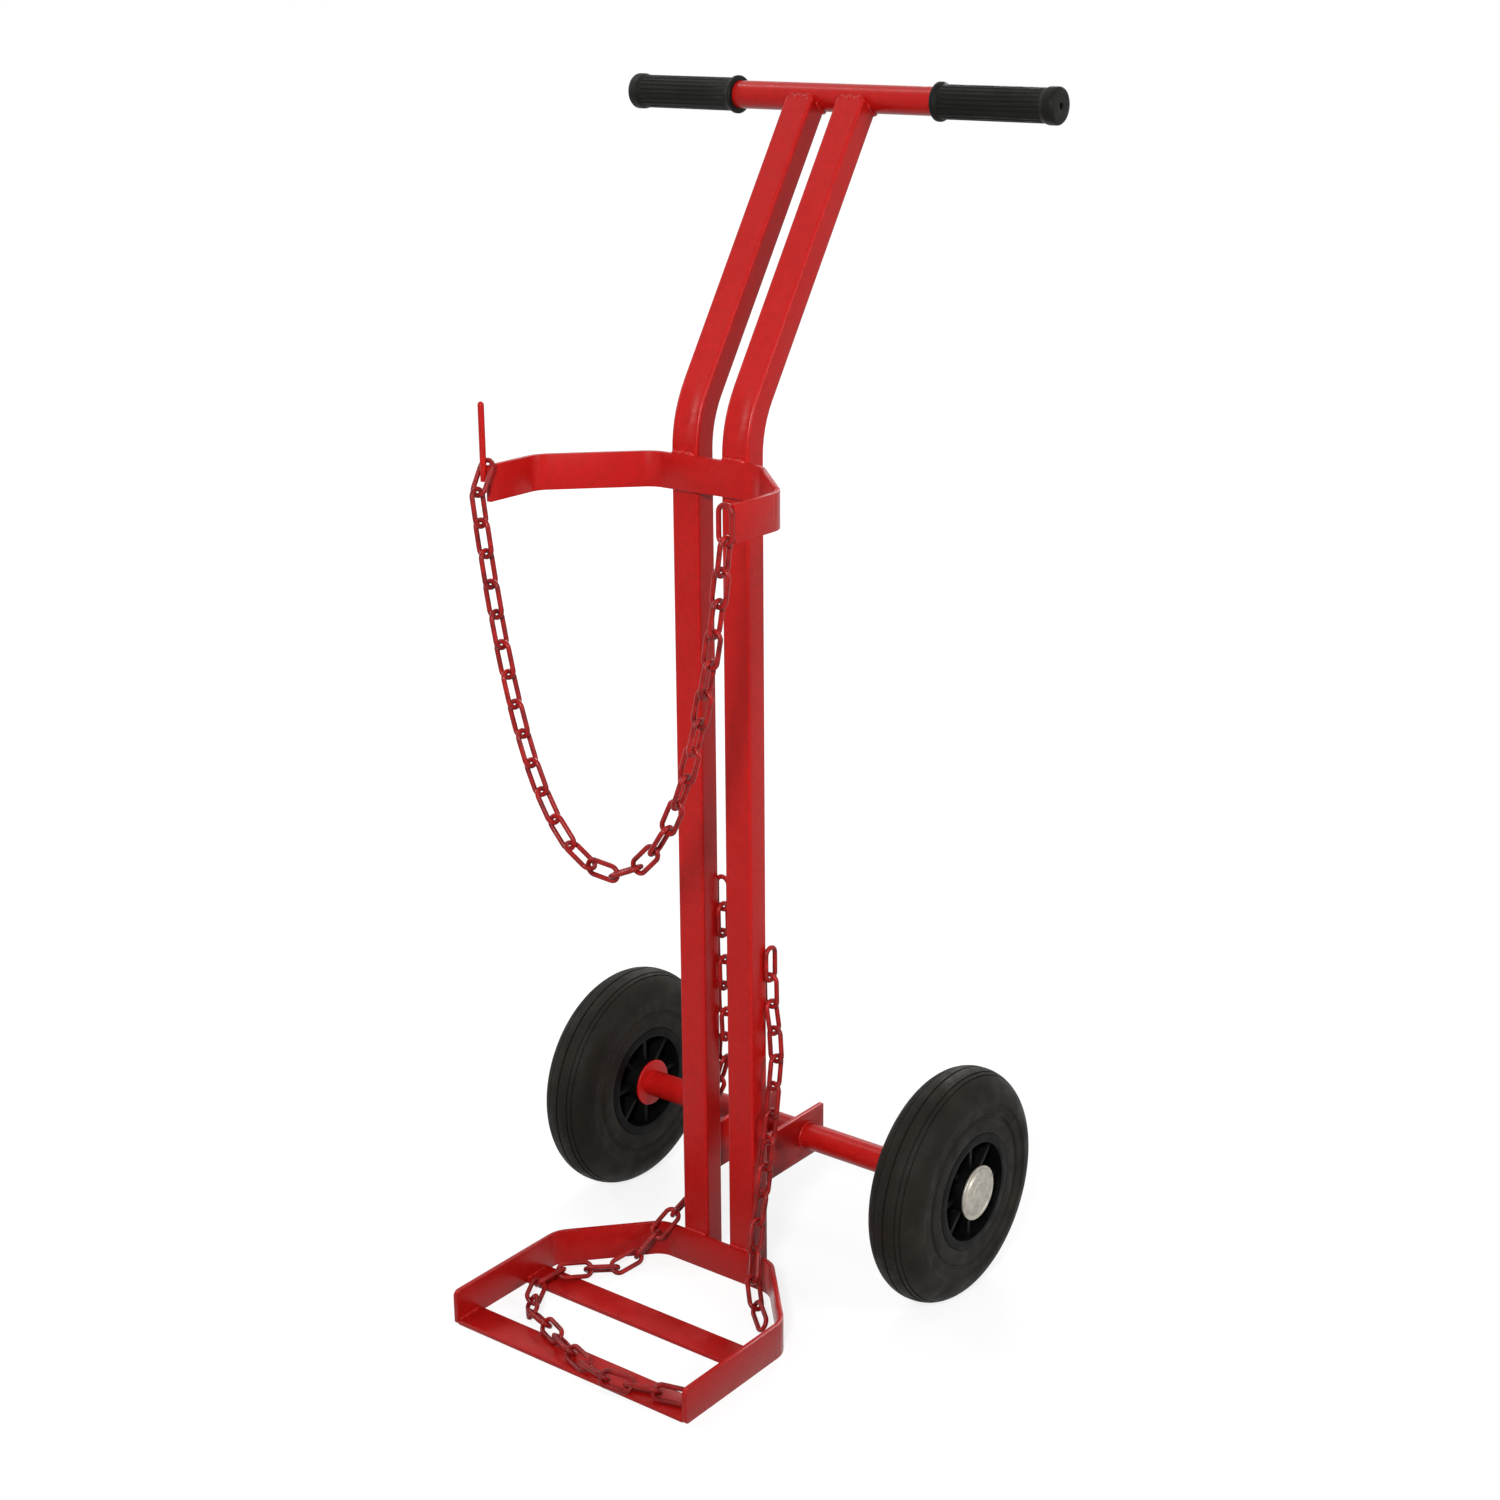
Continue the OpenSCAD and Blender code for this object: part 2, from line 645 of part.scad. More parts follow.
// left lower chain: down between the uprights, over the gusset, down behind the left upright, over the
// base's back and round to the front bar
left_way = [left_end + below, left_end + [0.6, 0.4, -76], [gap_x + 1, left_end[1] + 1.4, gusset_top + 100],
    [gap_x - 0.5, behind_y - 2.2, gusset_top + 77], [gap_x - 7, behind_y + 0.8, gusset_top + 54],
    [-side_x - 1, behind_y + 1.5, gusset_top + 32], [1 - out_x, behind_y + 1, gusset_top + 8],
    [-out_x - 0.5, behind_y + 0.9, gusset_low + 23.4], [-out_x - 1.9, behind_y + 1.5, base_h + 52],
    [-out_x - 2.6, behind_y + 1.6, base_h + 36.4], [-out_x - 7, tube_back_y + 1.4, base_h + 24.2],
    [-out_x - 6.6, frame_y + 15.6, base_h + 13.9], [-out_x - 9.6, frame_y + 6.8, base_h + 11.9],
    [-out_x - 11.7, in_y + 1.6, base_h + 8.4], [-out_x - 13.5, in_y - 8, base_h + 3.5],
    [-out_x - 16.5, in_y - 16.5, base_h - 5.8], [-out_x - 19.5, in_y - 25, lie + 10.2],
    [-out_x - 23.3, in_y - 36.6, lie + 3.2], [-out_x - 28.5, in_y - 51.8, lie + 0.3],
    [-out_x - 35.9, flat_w / 2 + 15.3, lie + 0.7], [35.2 - in_x, flat_w / 2 + 3, lie_bar + 1.8],
    [25.3 - in_x, 5.2, lie_bar + 1.2], [19.3 - in_x, 7.1 - flat_w / 2, lie_bar + 1.6],
    [21 - in_x, -flat_w / 2 - 6.9, lie + 3.4], [25.4 - in_x, base_front + flat_w + 36, lie + 1.1],
    [36.4 - in_x, base_front + flat_w + 22, lie + 0.5], [51.7 - in_x, base_front + flat_w + 8.8, lie + 3.2],
    [-44, base_front + 29, lie_bar + 0.3], [-18, base_front + 17.5, lie_bar + 0.2],
    [8, base_front + 7, lie_bar + 0.2], [33, base_front + 0.5, lie_bar + 0.2],
    [53, base_front, lie_bar + 0.2], [in_x - 44.5, base_front + 6, lie_bar + 0.2],
    [in_x - 22, base_front + 12, lie_bar + 0.2],
    [in_x - 4, base_front + 17, lie_bar + 0.2]];

// right lower chain: down beside the right upright and into the base
right_way = [right_end + below, right_end + [0.8, 0.3, -44], right_end + [5.6, 0.6, -70],
    [beside_x + 1.6, tube_back_y - 3, right_end[2] - 96], [beside_x + 1.4, tube_back_y - 8, base_h + 125],
    [beside_x + 0.6, tube_back_y - 13, base_h + 92], [beside_x + 1, in_y + 6, base_h + 64],
    [beside_x + 2.5, in_y - 2.5, base_h + 40], [beside_x + 5.5, in_y - 12, base_h + 18],
    [beside_x + 11, in_y - 22, base_h - 1], [beside_x + 20, in_y - 32, base_h - 14],
    [beside_x + 33, in_y - 43, lie + 2], [beside_x + 48, in_y - 55, lie + 0.4],
    [beside_x + 58, in_y - 64, lie + 0.4]];

module left_lower_chain() color([0.6, 0.11, 0.11]) {
    link_at(left_end, [0, 0, -1], [1, 0, 0]);
    links(route(left_way), [0, 1, 0], -0.93);
}

module right_lower_chain() color([0.6, 0.11, 0.11]) {
    link_at(right_end, [0, 0, -1], [0, 1, 0]);
    links(route(right_way), [1, 0, 0], 2);
}

left_upright();
right_upright();
handle_bar();
left_grip();
right_grip();
cradle_band();
chain_peg();
base_band();
base_front_bar();
base_crossbar();
left_gusset();
right_gusset();
axle_sleeve();
axle_shaft();
left_collar();
right_collar();
left_tyre();
right_tyre();
left_rim();
right_rim();
left_bush();
right_bush();
left_hub_cap();
right_hub_cap();
peg_link();
weld_link();
retaining_chain();
left_lower_chain();
right_lower_chain();
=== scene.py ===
"""Red gas cylinder trolley: the finishes, grips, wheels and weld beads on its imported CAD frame."""

import json
import math

import bmesh
import bpy
from mathutils import Matrix, Vector


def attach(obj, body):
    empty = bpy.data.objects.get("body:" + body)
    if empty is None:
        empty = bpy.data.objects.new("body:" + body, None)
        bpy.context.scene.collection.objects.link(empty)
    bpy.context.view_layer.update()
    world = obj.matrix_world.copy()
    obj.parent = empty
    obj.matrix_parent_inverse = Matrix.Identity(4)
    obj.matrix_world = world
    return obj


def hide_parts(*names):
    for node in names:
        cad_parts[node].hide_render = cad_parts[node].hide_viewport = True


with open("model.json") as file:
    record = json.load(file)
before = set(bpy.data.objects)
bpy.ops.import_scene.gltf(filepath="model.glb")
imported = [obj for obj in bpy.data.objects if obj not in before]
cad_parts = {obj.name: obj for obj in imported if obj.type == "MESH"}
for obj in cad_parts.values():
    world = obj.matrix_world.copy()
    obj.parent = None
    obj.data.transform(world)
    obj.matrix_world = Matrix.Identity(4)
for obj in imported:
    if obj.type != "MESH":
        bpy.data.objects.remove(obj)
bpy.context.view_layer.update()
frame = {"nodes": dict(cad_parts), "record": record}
nodes = frame["nodes"]
scene = bpy.context.scene

# Sizes of the frame that the new pieces sit on, in millimetres.
MM = 0.001
UPRIGHT_X, UPRIGHT_W, UPRIGHT_D = 24.5, 26.0, 21.0
UPRIGHT_FRONT, UPRIGHT_BACK = 99.0, 120.0
BEND_Z, BEND_R, LEAN = 706.0, 87.0, math.radians(33.0)
STEM_UP = Vector((0.0, math.sin(LEAN), math.cos(LEAN)))
STEM_BACK = Vector((0.0, math.cos(LEAN), -math.sin(LEAN)))
BEND_MIDDLE = Vector((0.0, UPRIGHT_FRONT + UPRIGHT_D / 2 + BEND_R, BEND_Z))
STEM_FOOT = BEND_MIDDLE - BEND_R * STEM_BACK
STEM_LEN, BAR_SETBACK, BAR_R = 254.0, 4.6, 11.0
BAR = STEM_FOOT + STEM_LEN * STEM_UP + BAR_SETBACK * STEM_BACK
GRIP_IN = 95.5
CRADLE_TOP, CRADLE_LOW, CRADLE_HALF, ARM_FRONT = 705.0, 677.0, 119.5, -22.5
PEG_R, PEG_FOOT = 2.5, 12.0
FLAT_T, FLAT_W = 4.0, 28.0
BASE_TOP, BASE_HALF, BASE_FRONT = 30.0, 122.5, -97.0
AXLE = Vector((0.0, 191.0, 100.0))
SLEEVE_R, GUSSET_T, GUSSET_LOW, GUSSET_TOP = 11.5, 5.0, 79.0, 121.0
COLLAR_IN, COLLAR_T, HUB_IN, CAP_IN = 146.05, 2.5, 149.05, 199.55
WHEEL_R, TYRE_W, CROWN_R, LIP_R, WALL_HALF = 100.0, 50.0, 24.0, 49.5, 23.8

# Sizes of the finishing work, in millimetres.
UPRIGHT_END = 246.0
PRESS_DEPTH, PRESS_REACH, PRESS_EDGE = 1.8, 24.0, 2.8
PLATE_EDGE, RIM_EDGE, BASE_TOP_CORNER, BASE_LOW_CORNER = 0.8, 0.7, 5.0, 2.5
GRIP_BORE_R, GRIP_FLANGE_R, GRIP_R = 11.2, 15.0, 13.1
GRIP_END_R, GRIP_LEN, GRIP_HOLE_R, GRIP_HOLE_FLOOR = 14.2, 108.0, 2.4, 104.0
COLLAR_R, COLLAR_BORE_R = 21.0, 9.6
SEAM_BEAD, LIP_BEAD, PEG_BEAD = 2.1, 4.0, 1.3
CRADLE_TOP_BEAD, CRADLE_LOW_BEAD, BASE_BEAD = 2.8, 2.0, 2.2
GUSSET_BEAD, SLEEVE_BEAD, FLOOR_BAR_BEAD = 1.8, 1.7, 1.6
BEAD_STEP, BEAD_INSET = 0.8, 1.5


# Materials.
def material(name, shine):
    """A new material with its node tree, its shader and its Object coordinates."""
    made = bpy.data.materials.new(name)
    made.use_nodes = True
    tree = made.node_tree
    shader = tree.nodes["Principled BSDF"]
    shader.inputs["Specular IOR Level"].default_value = shine
    place = tree.nodes.new("ShaderNodeTexCoord").outputs["Object"]
    return made, tree, shader, place


def noise(tree, place, scale, detail=4.0, roughness=0.55):
    """Noise at a scale in cells per metre."""
    node = tree.nodes.new("ShaderNodeTexNoise")
    node.inputs["Scale"].default_value = scale
    node.inputs["Detail"].default_value = detail
    node.inputs["Roughness"].default_value = roughness
    tree.links.new(place, node.inputs["Vector"])
    return node.outputs["Fac"]


def ramp(tree, factor, stops):
    """Colours or greys along a factor, as (position, colour) stops."""
    node = tree.nodes.new("ShaderNodeValToRGB")
    while len(node.color_ramp.elements) < len(stops):
        node.color_ramp.elements.new(0.5)
    for element, (position, colour) in zip(node.color_ramp.elements, stops):
        element.position = position
        element.color = (*colour, 1.0) if isinstance(colour, tuple) else (colour, colour, colour, 1.0)
    tree.links.new(factor, node.inputs["Fac"])
    return node.outputs["Color"]


def multiply(tree, first, second):
    """One colour tinted by another."""
    first_colour, second_colour, result = 6, 7, 2
    node = tree.nodes.new("ShaderNodeMix")
    node.data_type = "RGBA"
    node.blend_type = "MULTIPLY"
    node.inputs["Factor"].default_value = 1.0
    tree.links.new(first, node.inputs[first_colour])
    tree.links.new(second, node.inputs[second_colour])
    return node.outputs[result]


def dull(tree, shader, factor, low, high, top=0.7):
    """Roughness that goes from low to high while a factor goes from 0.3 to the top."""
    tree.links.new(ramp(tree, factor, [(0.3, low), (top, high)]), shader.inputs["Roughness"])


def bump(tree, shader, height, distance, strength):
    """Small relief on the shader's normal, deepest at the given distance in metres."""
    node = tree.nodes.new("ShaderNodeBump")
    node.inputs["Distance"].default_value = distance
    node.inputs["Strength"].default_value = strength
    tree.links.new(height, node.inputs["Height"])
    tree.links.new(node.outputs["Normal"], shader.inputs["Normal"])


def red_paint(name, light, dark, patches, peel):
    """Sprayed paint: patches of tone, a little dust, painted shade that darkens it near the floor and fine
    orange peel.
    """
    made, tree, shader, place = material(name, shine=0.18)
    tone = ramp(tree, noise(tree, place, patches), [(0.3, dark), (0.7, light)])
    dust = ramp(tree, noise(tree, place, 160.0, detail=6.0, roughness=0.7), [(0.35, 0.86), (0.6, 1.0)])
    # Painted shade: below 5 cm of height the colour is cut to 0.82, and it climbs back to full colour by 12
    # cm.
    parted = tree.nodes.new("ShaderNodeSeparateXYZ")
    tree.links.new(place, parted.inputs["Vector"])
    floor_shade = ramp(tree, parted.outputs["Z"], [(0.05, 0.82), (0.12, 1.0)])
    clean = multiply(tree, tone, dust)
    tree.links.new(multiply(tree, clean, floor_shade), shader.inputs["Base Color"])
    dull(tree, shader, noise(tree, place, 38.0), 0.26, 0.4, top=0.75)
    bump(tree, shader, noise(tree, place, 620.0, detail=2.0), distance=0.0004, strength=peel)
    return made


def tyre_rubber():
    """Black rubber, browned by dust in patches, with a fine moulded grain."""
    made, tree, shader, place = material("tyre_rubber", shine=0.12)
    patches = ramp(tree, noise(tree, place, 26.0, detail=6.0, roughness=0.65),
                   [(0.3, (0.007, 0.0056, 0.004)),
                    (0.55, (0.012, 0.0096, 0.007)),
                    (0.8, (0.024, 0.019, 0.013))])
    specks = ramp(tree, noise(tree, place, 700.0, detail=3.0), [(0.3, 0.7), (0.65, 1.0)])
    tree.links.new(multiply(tree, patches, specks), shader.inputs["Base Color"])
    dull(tree, shader, noise(tree, place, 60.0), 0.5, 0.75)
    bump(tree, shader, noise(tree, place, 1100.0, detail=3.0), distance=0.0005, strength=0.3)
    return made


def grip_rubber():
    """Soft black rubber with a faint sheen."""
    made, tree, shader, place = material("grip_rubber", shine=0.12)
    tone = ramp(tree, noise(tree, place, 45.0, detail=5.0),
                [(0.3, (0.003, 0.003, 0.0024)), (0.75, (0.007, 0.007, 0.0056))])
    tree.links.new(tone, shader.inputs["Base Color"])
    dull(tree, shader, noise(tree, place, 130.0), 0.42, 0.6)
    bump(tree, shader, noise(tree, place, 1500.0, detail=2.0), distance=0.0003, strength=0.25)
    return made


def rim_plastic():
    """Black moulded plastic with hardly any shine."""
    made, tree, shader, place = material("rim_plastic", shine=0.05)
    tone = ramp(tree, noise(tree, place, 70.0),
                [(0.3, (0.002, 0.002, 0.002)), (0.75, (0.005, 0.0045, 0.0045))])
    tree.links.new(tone, shader.inputs["Base Color"])
    dull(tree, shader, noise(tree, place, 90.0), 0.35, 0.55)
    bump(tree, shader, noise(tree, place, 1300.0, detail=2.0), distance=0.0003, strength=0.2)
    return made


def cap_zinc():
    """Zinc-plated pressed steel with a warm, cloudy plating."""
    made, tree, shader, place = material("cap_zinc", shine=0.5)
    clouds = ramp(tree, noise(tree, place, 140.0, detail=6.0, roughness=0.65),
                  [(0.25, (0.24, 0.22, 0.18)), (0.5, (0.40, 0.37, 0.32)), (0.8, (0.52, 0.49, 0.43))])
    tree.links.new(clouds, shader.inputs["Base Color"])
    dull(tree, shader, noise(tree, place, 260.0), 0.34, 0.52)
    shader.inputs["Metallic"].default_value = 0.6
    bump(tree, shader, noise(tree, place, 900.0, detail=3.0), distance=0.0003, strength=0.2)
    return made


def axle_steel():
    """Bright drawn steel with fine lines round the shaft."""
    made, tree, shader, place = material("axle_steel", shine=0.5)
    squeezed = tree.nodes.new("ShaderNodeMapping")
    squeezed.inputs["Scale"].default_value = (60.0, 1.0, 1.0)
    tree.links.new(place, squeezed.inputs["Vector"])
    lines = noise(tree, squeezed.outputs["Vector"], 40.0, detail=3.0)
    tone = ramp(tree, lines, [(0.3, (0.42, 0.42, 0.42)), (0.7, (0.56, 0.56, 0.55))])
    tree.links.new(tone, shader.inputs["Base Color"])
    dull(tree, shader, lines, 0.28, 0.4)
    shader.inputs["Metallic"].default_value = 1.0
    bump(tree, shader, lines, distance=0.0002, strength=0.2)
    return made


def bush_plastic():
    """Pale nylon of the bearing bushes."""
    made, tree, shader, place = material("bush_plastic", shine=0.4)
    tone = ramp(tree, noise(tree, place, 120.0), [(0.3, (0.52, 0.51, 0.46)), (0.7, (0.62, 0.61, 0.56))])
    tree.links.new(tone, shader.inputs["Base Color"])
    dull(tree, shader, noise(tree, place, 200.0), 0.45, 0.6)
    bump(tree, shader, noise(tree, place, 900.0, detail=2.0), distance=0.0002, strength=0.2)
    return made


finishes = {
    "red_paint": red_paint("red_paint", light=(0.47, 0.0085, 0.0065), dark=(0.42, 0.0065, 0.0055),
                           patches=9.0, peel=0.12),
    # The chain paint's wide range from light to dark red, in patches about a link in size, is partly
    # painted shade for the shaded sides of the links.
    "chain_paint": red_paint("chain_paint", light=(0.39, 0.011, 0.010), dark=(0.15, 0.007, 0.007),
                             patches=90.0, peel=0.2),
    "grip_rubber": grip_rubber(),
    "tyre_rubber": tyre_rubber(),
    "rim_plastic": rim_plastic(),
    "cap_zinc": cap_zinc(),
    "axle_steel": axle_steel(),
    "bush_plastic": bush_plastic(),
}
for subpart in frame["record"]["subparts"]:
    slots = nodes[subpart["node"]].data.materials
    slots.clear()
    slots.append(finishes[subpart["material_slot"]])


# Shapes.
def piece(bm, name, slot, body, *replaced, sharp=40.0):
    """Makes a finished mesh an object of the trolley that rides on a body."""
    for face in bm.faces:
        face.smooth = True
    for edge in bm.edges:
        edge.smooth = edge.calc_face_angle(0.0) < math.radians(sharp)
    mesh = bpy.data.meshes.new(name)
    bm.to_mesh(mesh)
    bm.free()
    made = bpy.data.objects.new(name, mesh)
    scene.collection.objects.link(made)
    mesh.materials.append(finishes[slot])
    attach(made, body)
    if replaced:
        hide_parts(*replaced)
    return made


def turned(corners, steps):
    """A shape turned about the X axis from corners (along, radius, rounding) in millimetres."""
    bm = bmesh.new()
    points = [bm.verts.new((along * MM, 0.0, radius * MM)) for along, radius, _ in corners]
    for first, second in zip(points, points[1:]):
        bm.edges.new((first, second))
    rounded = {}
    for point, (_, _, rounding) in zip(points, corners):
        if rounding:
            rounded.setdefault(rounding, []).append(point)
    for rounding, corner in rounded.items():
        bmesh.ops.bevel(bm, geom=corner, offset=rounding * MM, offset_type="OFFSET", affect="VERTICES",
                        segments=4, profile=0.5, material=-1)
    bmesh.ops.spin(bm, geom=bm.verts[:] + bm.edges[:], cent=(0, 0, 0), axis=(1, 0, 0), angle=math.tau,
                   steps=steps, use_merge=True)
    bmesh.ops.remove_doubles(bm, verts=bm.verts, dist=1e-6)
    bmesh.ops.recalc_face_normals(bm, faces=bm.faces)
    return bm


def put(bm, side, start, centre):
    """Moves a turned shape to its start along X on one side (-1 left, mirrored, or 1 right)."""
    if side < 0:
        bmesh.ops.scale(bm, vec=(-1, 1, 1), verts=bm.verts)
        bmesh.ops.reverse_faces(bm, faces=bm.faces)
    bmesh.ops.translate(bm, vec=Vector((side * start, centre.y, centre.z)) * MM, verts=bm.verts)


def front_edges(bm, height):
    """Edges that lie whole in the base's front end, at a height in millimetres."""
    reach, near = (BASE_FRONT + 0.2) * MM, 0.5 * MM
    return [edge for edge in bm.edges
            if all(vert.co.y < reach and abs(vert.co.z - height * MM) < near for vert in edge.verts)]


def softened(node, width, slot, body, *corners):
    """Stands for a CAD node with its sharp edges rounded by a small width in millimetres.

    Corners are (height, radius): the base's front edges at that height get that radius first.
    """
    bm = bmesh.new()
    bm.from_mesh(nodes[node].data)
    bmesh.ops.remove_doubles(bm, verts=bm.verts, dist=1e-6)
    bmesh.ops.dissolve_limit(bm, angle_limit=math.radians(1.0), verts=bm.verts, edges=bm.edges)
    for height, radius in corners:
        bmesh.ops.bevel(bm, geom=front_edges(bm, height), offset=radius * MM, offset_type="OFFSET",
                        affect="EDGES", segments=5, profile=0.5, material=-1, clamp_overlap=True)
    edges = [edge for edge in bm.edges if edge.calc_face_angle(0.0) > math.radians(40.0)]
    bmesh.ops.bevel(bm, geom=edges, offset=width * MM, offset_type="OFFSET", affect="EDGES", segments=3,
                    profile=0.5, material=-1, clamp_overlap=True)
    return piece(bm, "soft_" + node, slot, body, node, sharp=30.0)


def grip(side, name):
    """Rubber grip: flange, fine ribs along its length, thicker closed end with a small hole."""
    steps, rib_steps, groove_steps, groove_share = 132, 6, 2, 0.94
    ribs_from, ribs_to = 8.0, 95.5
    flange = [(0, GRIP_BORE_R, 0), (0, GRIP_FLANGE_R, 1.2), (4.2, GRIP_FLANGE_R, 1.4)]
    sleeve = [(5.2, GRIP_R, 0.8)]
    sleeve += [(along, GRIP_R, 0) for along in (7.5, 8.5, 30, 60, 95, 96)]
    end = [(97.5, 13.6, 0), (99, GRIP_END_R, 0.8), (GRIP_LEN, GRIP_END_R, 3.0)]
    hole = [(GRIP_LEN, GRIP_HOLE_R, 0.5), (GRIP_HOLE_FLOOR, GRIP_HOLE_R, 0), (GRIP_HOLE_FLOOR, 0, 0)]
    bm = turned(flange + sleeve + end + hole, steps)
    for vert in bm.verts:
        if ribs_from * MM < vert.co.x < ribs_to * MM:
            turn = round(math.atan2(vert.co.y, vert.co.z) / math.tau * steps)
            if turn % rib_steps < groove_steps:
                vert.co.yz = vert.co.yz * groove_share
    put(bm, side, GRIP_IN, BAR)
    return piece(bm, "ribbed_" + name, "grip_rubber", "frame", name, sharp=55.0)


def tyre(side, name, body):
    """Tyre: round crown with five fine grooves, side walls with a groove, and beads on the rim."""
    foot, seat, bead = WALL_HALF - 3.1, LIP_R - 2.9, LIP_R + 0.1
    groove, deep = 64.0, 1.5
    start, middle = WHEEL_R - CROWN_R, TYRE_W / 2
    tread_steps, tread_sink = (11, 13), 1.1
    tread_groove = ((0.5, 0.0), (0.8, tread_sink), (1.5, tread_sink), (1.8, 0.0))
    half = [(foot, seat, 0), (foot, bead, 0), (WALL_HALF, bead, 1.2),
            (WALL_HALF, groove - 2.2, 0.9), (WALL_HALF - deep, groove - 0.9, 0.5),
            (WALL_HALF - deep, groove + 0.9, 0.5), (WALL_HALF, groove + 2.2, 0.9),
            (WALL_HALF, start - 2.0, 0.6), (middle - 0.2, start - 0.9, 0.5)]
    for step in range(18):
        angle = math.radians(5 * step)
        x, r = middle - CROWN_R + CROWN_R * math.cos(angle), start + CROWN_R * math.sin(angle)
        half.append((x, r, 0))
        if step in tread_steps:
            inward = Vector((-math.cos(angle), -math.sin(angle)))
            along = Vector((-math.sin(angle), math.cos(angle)))
            for shift, sink in tread_groove:
                spot = Vector((x, r)) + shift * along + sink * inward
                half.append((spot.x, spot.y, 0))
    half += [(0.9, WHEEL_R, 0), (0.6, WHEEL_R - tread_sink, 0)]
    corners = [(middle + x, r, rounding) for x, r, rounding in half]
    corners += [(middle - x, r, rounding) for x, r, rounding in reversed(half)]
    bm = turned(corners + corners[:1], 144)
    put(bm, side, HUB_IN, AXLE)
    return piece(bm, "moulded_" + name, "tyre_rubber", body, name, sharp=50.0)


def hub_cap(side, name):
    """Pressed cap: rolled edge, sunk ring and a raised middle."""
    rolled_edge = [(0, 20.0, 0), (0, 23.2, 0.5), (2.0, 23.2, 0.8), (2.0, 21.2, 0.6)]
    sunk_ring = [(1.1, 20.2, 0.4), (1.1, 19.2, 0.4), (3.0, 17.4, 0.6)]
    raised_middle = [(3.5, 12.6, 0.4), (3.1, 11.8, 0.3), (4.3, 10.2, 0.6), (4.5, 3.0, 0.5), (4.1, 0, 0)]
    bm = turned(rolled_edge + sunk_ring + raised_middle, 96)
    put(bm, side, CAP_IN, AXLE)
    return piece(bm, "pressed_" + name, "cap_zinc", "frame", name)


def collar(side, name):
    """Round collar with full, rounded edges."""
    bm = turned([(0, COLLAR_BORE_R, 0), (0, COLLAR_R, 1.0), (COLLAR_T, COLLAR_R, 1.0),
                 (COLLAR_T, COLLAR_BORE_R, 0), (0, COLLAR_BORE_R, 0)], 72)
    put(bm, side, COLLAR_IN, AXLE)
    return piece(bm, "rounded_" + name, "red_paint", "frame", name)


def press_bend(bm, x):
    """Presses the front wall in a little at the bend, as a bending tool leaves it."""
    middle, outer = BEND_MIDDLE * MM, (BEND_R + UPRIGHT_D / 2) * MM
    flat, reach, near = (UPRIGHT_W / 2 - PRESS_EDGE) * MM, PRESS_REACH * MM, 0.5 * MM

    def gap(point):
        """Distance of a point behind the bend's front face."""
        if point.z < middle.z:
            return point.y - UPRIGHT_FRONT * MM
        return outer - math.hypot(point.y - middle.y, point.z - middle.z)

    def in_front(face):
        """Whether a face belongs to the front wall at the bend or above it."""
        return (face.normal.y < -0.5 and abs(face.normal.x) < 0.1
                and all(abs(gap(vert.co)) < near or vert.co.z > middle.z + outer / 2 for vert in face.verts)
                and max(vert.co.z for vert in face.verts) > middle.z - reach)

    cuts = [((x + 2.0 * i, 0, 0), (1, 0, 0)) for i in range(-5, 6)]
    cuts += [((0, 0, BEND_Z + 4.0 * i), (0, 0, 1)) for i in range(-5, 16)]
    for place, direction in cuts:
        bm.normal_update()
        faces = [face for face in bm.faces if in_front(face)]
        parts = dict.fromkeys(part for face in faces for part in face.edges[:] + face.verts[:])
        bmesh.ops.bisect_plane(bm, geom=faces + list(parts), dist=1e-7, plane_co=Vector(place) * MM,
                               plane_no=direction)
    start = middle.z + outer * math.sin(LEAN / 2)
    for vert in bm.verts:
        across = (vert.co.x - x * MM) / flat
        along = (vert.co.z - start) / reach
        if abs(across) < 1.0 and abs(along) < 2.0 and abs(gap(vert.co)) < near:
            sink = PRESS_DEPTH * MM * (1.0 - across ** 2) ** 2 * math.exp(-2.0 * along ** 2)
            inward = Vector((0.0, middle.y - vert.co.y, -max(0.0, vert.co.z - middle.z))).normalized()
            vert.co += inward * sink


def upright(name, x):
    """Upright that stops short of the handle bar's front, where the weld fills the corner."""
    bm = bmesh.new()
    bm.from_mesh(nodes[name].data)
    bmesh.ops.remove_doubles(bm, verts=bm.verts, dist=1e-6)
    press_bend(bm, x)
    cut = bmesh.ops.bisect_plane(bm, geom=bm.verts[:] + bm.edges[:] + bm.faces[:], dist=1e-7,
                                 plane_co=(STEM_FOOT + UPRIGHT_END * STEM_UP) * MM, plane_no=STEM_UP,
                                 clear_outer=True)
    end = [item for item in cut["geom_cut"] if isinstance(item, bmesh.types.BMEdge)]
    bmesh.ops.triangle_fill(bm, use_beauty=True, edges=end, normal=STEM_UP)
    return piece(bm, "welded_" + name, "red_paint", "frame", name, sharp=45.0)


for side, word in ((-1, "left"), (1, "right")):
    upright(word + "_upright", side * UPRIGHT_X)
    grip(side, word + "_grip")
    tyre(side, word + "_tyre", word + "_wheel")
    hub_cap(side, word + "_hub_cap")
    collar(side, word + "_collar")
    softened(word + "_gusset", PLATE_EDGE, "red_paint", "frame")
    softened(word + "_rim", RIM_EDGE, "rim_plastic", word + "_wheel")
for node in ("cradle_band", "base_front_bar", "base_crossbar"):
    softened(node, PLATE_EDGE, "red_paint", "frame")
softened("base_band", PLATE_EDGE, "red_paint", "frame", (BASE_TOP, BASE_TOP_CORNER), (0.0, BASE_LOW_CORNER))


